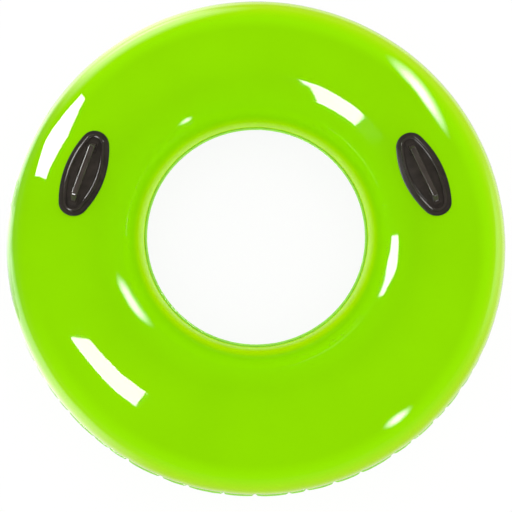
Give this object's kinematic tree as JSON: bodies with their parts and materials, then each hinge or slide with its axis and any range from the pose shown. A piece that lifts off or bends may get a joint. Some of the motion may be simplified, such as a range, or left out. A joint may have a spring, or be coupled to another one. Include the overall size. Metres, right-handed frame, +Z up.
{
  "type": "towable tube",
  "caption": "Inflatable ring tube of two welded vinyl sheets, with moulded grab handles on top and a screw-in inflation valve with a flip cap.",
  "frame": {"origin": "on the floor, at the middle of the ring's hole", "axes": "+Z up; the handles lie to +X and -X, a little towards +Y; the valve is low on the +Y side"},
  "size_m": [1.0729, 1.073, 0.261],
  "materials": {
    "vinyl_sheet": "glossy, slightly see-through lime vinyl sheet",
    "vinyl_weld": "glossy fused vinyl edge",
    "vinyl_patch": "glossy vinyl doubler",
    "handle_vinyl": "black vinyl sheet, satin",
    "handle_moulding": "soft black moulded vinyl, satin",
    "valve_plastic": "black moulded plastic, satin",
    "valve_rubber": "soft black rubber"
  },
  "bodies": {
    "ring": {"upper_shell": "vinyl_sheet", "lower_shell": "vinyl_sheet", "outer_weld_seam": "vinyl_weld", "inner_weld_seam": "vinyl_weld", "right_handle_patch": "handle_vinyl", "right_handle_plate": "handle_moulding", "left_handle_patch": "handle_vinyl", "left_handle_plate": "handle_moulding", "valve_patch": "vinyl_patch", "valve_base": "valve_plastic"},
    "right_grip": {"right_grip": "handle_moulding"},
    "left_grip": {"left_grip": "handle_moulding"},
    "valve_gasket": {"valve_gasket": "valve_rubber"},
    "valve_insert": {"valve_insert": "valve_plastic", "valve_tether": "valve_plastic"},
    "valve_flap": {"valve_flap": "valve_rubber"},
    "valve_cap": {"valve_cap": "valve_plastic"}
  },
  "joints": [
    {"name": "right_grip_lift", "type": "slide", "parent": "ring", "child": "right_grip", "axis": [-0.2866, -0.0854, 0.9542], "range_m": [0, 0.003]},
    {"name": "left_grip_lift", "type": "slide", "parent": "ring", "child": "left_grip", "axis": [0.2369, -0.0697, 0.969], "range_m": [0, 0.003]},
    {"name": "valve_insert_lift", "type": "slide", "parent": "ring", "child": "valve_gasket", "axis": [0, 0.8829, -0.4695], "range_m": [0, 0.012]},
    {"name": "valve_insert_turn", "type": "hinge", "parent": "valve_gasket", "child": "valve_insert", "pos_m": [0, 0.5174, 0.07847], "axis": [0, 0.8829, -0.4695], "range_deg": [0, 1440]},
    {"name": "valve_flap_open", "type": "slide", "parent": "valve_insert", "child": "valve_flap", "axis": [0, -0.8829, 0.4695], "range_m": [0, 0.0016], "stiffness_N_per_m": 60, "springref_m": -0.0005},
    {"name": "valve_cap_flip", "type": "hinge", "parent": "valve_insert", "child": "valve_cap", "pos_m": [0, 0.53316, 0.08878], "axis": [1, 0, 0], "range_deg": [0, 150]}
  ],
  "couplings": [
    {"joint": "valve_insert_lift", "follows": "valve_insert_turn", "m_per_rad": 0.00047746}
  ]
}
